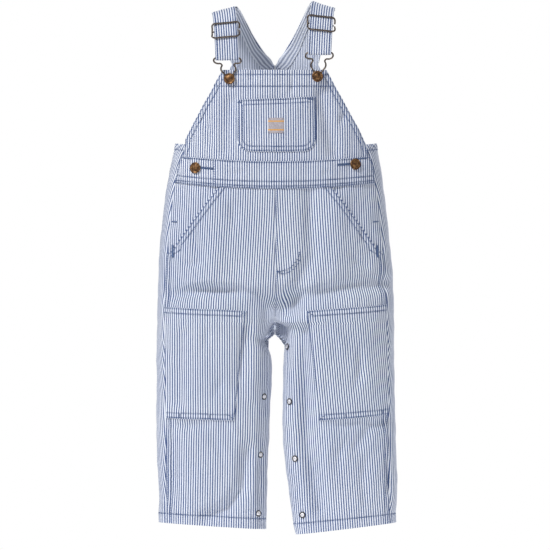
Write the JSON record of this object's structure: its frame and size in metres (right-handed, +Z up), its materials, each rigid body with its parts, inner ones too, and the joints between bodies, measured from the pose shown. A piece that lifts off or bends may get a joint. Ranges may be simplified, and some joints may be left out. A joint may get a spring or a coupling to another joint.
{
  "type": "kids bib overalls",
  "caption": "Child's bib overalls in striped cotton twill, filled out, with patched knees, a bib pocket, shoulder straps in wire sliders and hooks, and a snapped inseam.",
  "frame": {"origin": "between the two shoulder straps, on the centre line, at the height where they lie on the wearer's shoulders", "axes": "+Z up the standing garment, -Y to the front, +X to the wearer's left"},
  "size_m": [0.3141, 0.1138, 0.6942],
  "materials": {
    "twill": "white and blue hickory stripe, matt cotton twill",
    "label_tape": "woven tape",
    "antique_brass": "antiqued, satin",
    "dark_wire": "darkened, satin",
    "snap_steel": "satin"
  },
  "bodies": {
    "root": {"front_leg_right": "twill", "front_leg_left": "twill", "back_right": "twill", "back_left": "twill", "hip_pocket_facing_right": "twill", "hip_pocket_facing_left": "twill", "side_placket_right": "twill", "side_placket_left": "twill", "knee_patch_right": "twill", "knee_patch_left": "twill", "crotch_facing_right": "twill", "crotch_facing_left": "twill", "neck_facing_right": "twill", "neck_facing_left": "twill", "strap_right": "twill", "strap_left": "twill", "bib": "twill", "waistband": "twill", "bib_pocket": "twill", "label": "label_tape", "slider_right": "dark_wire", "slider_left": "dark_wire", "bib_hook_right": "dark_wire", "bib_hook_left": "dark_wire", "bib_button_right": "antique_brass", "bib_button_left": "antique_brass", "side_button_right": "antique_brass", "side_button_left": "antique_brass", "snap_left_1": "snap_steel", "snap_left_2": "snap_steel", "snap_left_3": "snap_steel", "snap_left_4": "snap_steel", "snap_right_1": "snap_steel", "snap_right_2": "snap_steel", "snap_right_3": "snap_steel"}
  },
  "joints": []
}
